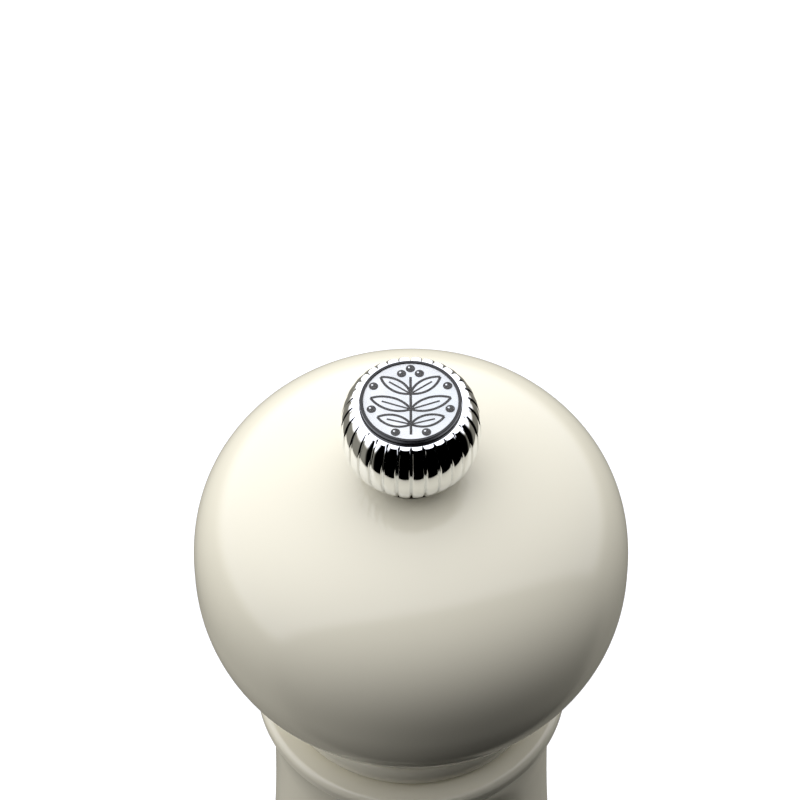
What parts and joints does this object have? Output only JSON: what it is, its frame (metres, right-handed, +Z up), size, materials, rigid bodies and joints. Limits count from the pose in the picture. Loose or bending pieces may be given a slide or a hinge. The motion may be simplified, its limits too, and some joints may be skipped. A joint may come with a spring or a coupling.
{
  "type": "pepper mill",
  "caption": "Turned wooden pepper mill with a round head that turns the burr and a ribbed metal knob that sets the grind.",
  "frame": {"origin": "centre of the foot's flat face, on the surface the mill stands on", "axes": "+Z up along the mill's axis, from the foot to the knob; +X through one burr plate screw"},
  "size_m": [0.057, 0.057, 0.18],
  "materials": {
    "lacquered_wood": "thick gloss ivory lacquer outside, bare beech in the bores",
    "knob_chrome": "mirror",
    "burr_steel": "case-hardened, dark",
    "plated_steel": "zinc plated",
    "spring_steel": "drawn wire",
    "brass": "turned",
    "black_trim": "gloss black",
    "enamel": "printed white",
    "clear_resin": "poured clear dome"
  },
  "bodies": {
    "mill_body": {"body_shell": "lacquered_wood", "burr_plate": "plated_steel", "female_burr": "burr_steel", "bridge": "plated_steel", "plate_screw_1": "plated_steel", "plate_screw_2": "plated_steel", "plate_screw_3": "plated_steel"},
    "spring_seat": {"spring_seat": "brass", "burr_spring": "spring_steel"},
    "spindle": {"spindle": "plated_steel", "male_burr": "burr_steel", "burr_washer": "brass", "burr_nut": "plated_steel"},
    "head": {"head_shell": "lacquered_wood", "top_bush": "brass", "drive_plate": "plated_steel", "drive_screw_1": "plated_steel", "drive_screw_2": "plated_steel"},
    "knob_washer": {"knob_washer": "brass"},
    "knob": {"knob_shell": "knob_chrome", "knob_insert": "brass", "trim_ring": "black_trim", "medallion": "enamel", "medallion_dome": "clear_resin"}
  },
  "joints": [
    {"name": "head_turn", "type": "hinge", "parent": "mill_body", "child": "spring_seat", "pos_m": [0, 0, 0.1217], "axis": [0, 0, 1], "continuous": true},
    {"name": "burr_lift", "type": "slide", "parent": "spring_seat", "child": "spindle", "axis": [0, 0, 1], "range_m": [-0.0012, 0.0006], "deforming": ["burr_spring"]},
    {"name": "head_lift", "type": "slide", "parent": "spring_seat", "child": "head", "axis": [0, 0, 1], "range_m": [0, 0.075]},
    {"name": "knob_lift", "type": "slide", "parent": "head", "child": "knob_washer", "axis": [0, 0, 1], "range_m": [0, 0.012]},
    {"name": "knob_turn", "type": "hinge", "parent": "knob_washer", "child": "knob", "pos_m": [0, 0, 0.174], "axis": [0, 0, 1], "range_deg": [-270, 540]}
  ],
  "couplings": [
    {"joint": "knob_turn", "follows": "burr_lift", "rad_per_m": -7854}
  ]
}
